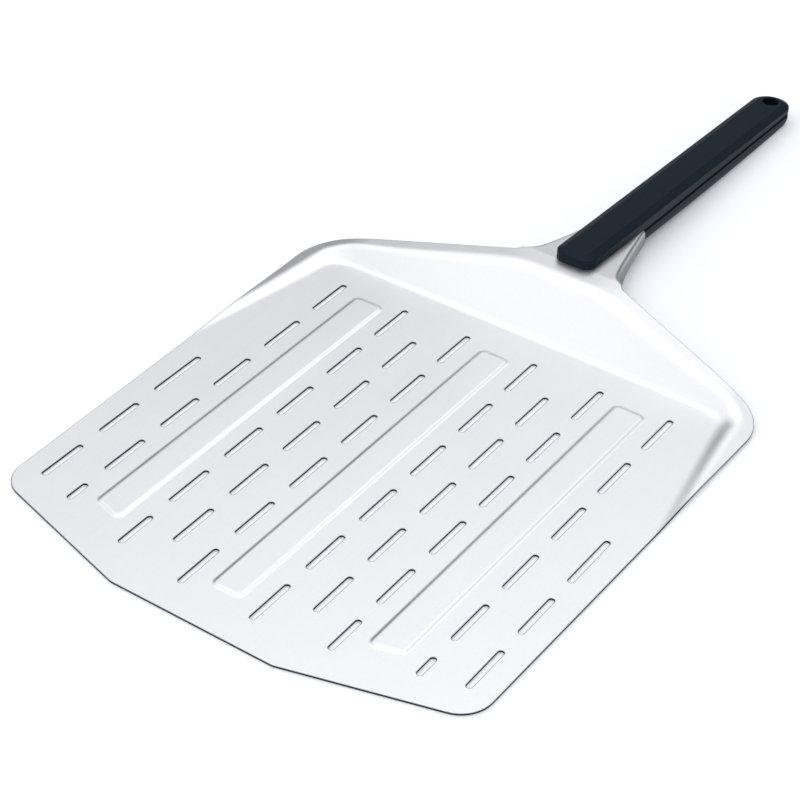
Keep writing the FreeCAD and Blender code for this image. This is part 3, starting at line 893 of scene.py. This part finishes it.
def turned_metal(name, light, dark, roughness):
    """Small turned or plated part: fine rings of tool marks and a slightly uneven tone."""
    made = Nodes(name)
    shader = made.shader
    marks = made.noise(3000, 2.0, (1.0, 1.0, 6.0))
    cloud = made.noise(300, 3.0)
    made.link(made.blend(made.ranged(cloud, 0.0, 1.0), light, dark), shader.inputs["Base Color"])
    made.link(made.ranged(marks, roughness - 0.06, roughness + 0.08), shader.inputs["Roughness"])
    shader.inputs["Metallic"].default_value = 1.0
    made.link(made.bump(marks, 0.2, 0.00005), shader.inputs["Normal"])
    return made.material


def dress_fasteners():
    """Give the frame's own screws and inserts their metals."""
    steel = turned_metal("zinc_plated_steel", (0.55, 0.56, 0.58), (0.42, 0.43, 0.46), 0.34)
    brass = turned_metal("turned_brass", (0.78, 0.60, 0.30), (0.66, 0.48, 0.22), 0.30)
    for name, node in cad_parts.items():
        if name.startswith(("grip_screw", "threaded_insert")):
            node.data.materials.clear()
            node.data.materials.append(steel if name.startswith("grip_screw") else brass)


# ---------------------------------------------------------------- camera, floor, light (metres)

CAMERA_AT = (0.69865, -1.19172, 0.97779)
CAMERA_TARGET = (-0.02657, -0.13555, 0.0015)
CAMERA_ROLL = math.radians(1.077)
CAMERA_LENS = 98.8        # millimetres, as is the sensor's width
CAMERA_SENSOR = 36.0
FLOOR_Z = -0.0006         # just clear of the sheet's underside
FLOOR_HALF = 8.0
FLOOR_GLOW = 0.16
OVERHEAD_AT = (0.5, -0.9, 1.9)
OVERHEAD_SIZE = 1.6
OVERHEAD_POWER = 2.0
# The room's brightness is a product of these: (direction, start and end along it, strength at each)
ROOM = [
    ((-0.56, 0.60, -0.57), 0.08, 0.56, 1.09, 0.10),
    ((0.70, 0.62, -0.35), 0.10, 0.66, 1.0, 0.04),
    ((-0.24, 0.61, 0.75), 0.72, 0.96, 1.0, 1.52),
]


def look_at(obj, target, roll=0.0):
    """Turn an object's -Z axis to the target."""
    aim = (Vector(target) - obj.location).to_track_quat("-Z", "Y").to_matrix().to_4x4()
    obj.matrix_world = Matrix.Translation(obj.location) @ aim @ Matrix.Rotation(roll, 4, "Z")


def make_camera():
    """Camera in front of the peel and to its right, looking down at it."""
    data = bpy.data.cameras.new("camera")
    data.lens = CAMERA_LENS
    data.sensor_width = CAMERA_SENSOR
    cam = bpy.data.objects.new("camera", data)
    bpy.context.collection.objects.link(cam)
    cam.location = CAMERA_AT
    look_at(cam, CAMERA_TARGET, CAMERA_ROLL)
    bpy.context.scene.camera = cam


def make_floor():
    """Pale paper that glows a little bluish, which lifts the shadow beside the peel."""
    mesh = bpy.data.meshes.new("studio_floor")
    signs = [(-1, -1), (1, -1), (1, 1), (-1, 1)]
    mesh.from_pydata([(x * FLOOR_HALF, y * FLOOR_HALF, FLOOR_Z) for x, y in signs], [], [(0, 1, 2, 3)])
    floor = bpy.data.objects.new("studio_floor", mesh)
    bpy.context.collection.objects.link(floor)
    made = Nodes("studio_paper")
    cloud = made.ranged(made.noise(3, 2.0), 0.0, 1.0)
    tone = made.blend(cloud, (0.93, 0.93, 0.935), (0.95, 0.95, 0.95))
    made.link(tone, made.shader.inputs["Base Color"])
    made.shader.inputs["Roughness"].default_value = 0.9
    made.shader.inputs["Specular IOR Level"].default_value = 0.1
    made.shader.inputs["Emission Color"].default_value = (0.72, 0.86, 1.0, 1)
    made.shader.inputs["Emission Strength"].default_value = FLOOR_GLOW
    mesh.materials.append(made.material)


def make_overhead():
    """Weak, soft light from above and in front."""
    data = bpy.data.lights.new("overhead", "AREA")
    data.shape = "RECTANGLE"
    data.size = OVERHEAD_SIZE
    data.size_y = OVERHEAD_SIZE
    data.energy = OVERHEAD_POWER
    lamp = bpy.data.objects.new("overhead", data)
    bpy.context.collection.objects.link(lamp)
    lamp.location = OVERHEAD_AT
    look_at(lamp, (0.0, 0.0, 0.0))


def make_room():
    """A white room, darker towards the first two directions of ROOM and brighter towards the third."""
    world = bpy.data.worlds.new("studio")
    bpy.context.scene.world = world
    world.use_nodes = True
    tree = world.node_tree
    spot = tree.nodes.new("ShaderNodeTexCoord").outputs["Generated"]
    strength = None
    for direction, start, end, at_start, at_end in ROOM:
        toward = tree.nodes.new("ShaderNodeVectorMath")
        toward.operation = "DOT_PRODUCT"
        toward.inputs[1].default_value = direction
        shade = tree.nodes.new("ShaderNodeMapRange")
        shade.inputs["From Min"].default_value = start
        shade.inputs["From Max"].default_value = end
        shade.inputs["To Min"].default_value = at_start
        shade.inputs["To Max"].default_value = at_end
        tree.links.new(spot, toward.inputs[0])
        tree.links.new(toward.outputs["Value"], shade.inputs["Value"])
        if strength is None:
            strength = shade.outputs["Result"]
        else:
            product = tree.nodes.new("ShaderNodeMath")
            product.operation = "MULTIPLY"
            tree.links.new(strength, product.inputs[0])
            tree.links.new(shade.outputs["Result"], product.inputs[1])
            strength = product.outputs["Value"]
    back = tree.nodes["Background"]
    tree.links.new(strength, back.inputs["Strength"])
    back.inputs["Color"].default_value = (0.975, 0.985, 1.0, 1)
    bpy.context.scene.view_settings.view_transform = "Standard"


# ---------------------------------------------------------------- the whole scene

make_camera()
make_floor()
make_room()
make_overhead()
blade(aluminium())
plastic = grip_plastic()
upper_grip(plastic)
lower_grip(plastic)
dress_fasteners()

bpy.context.view_layer.update()
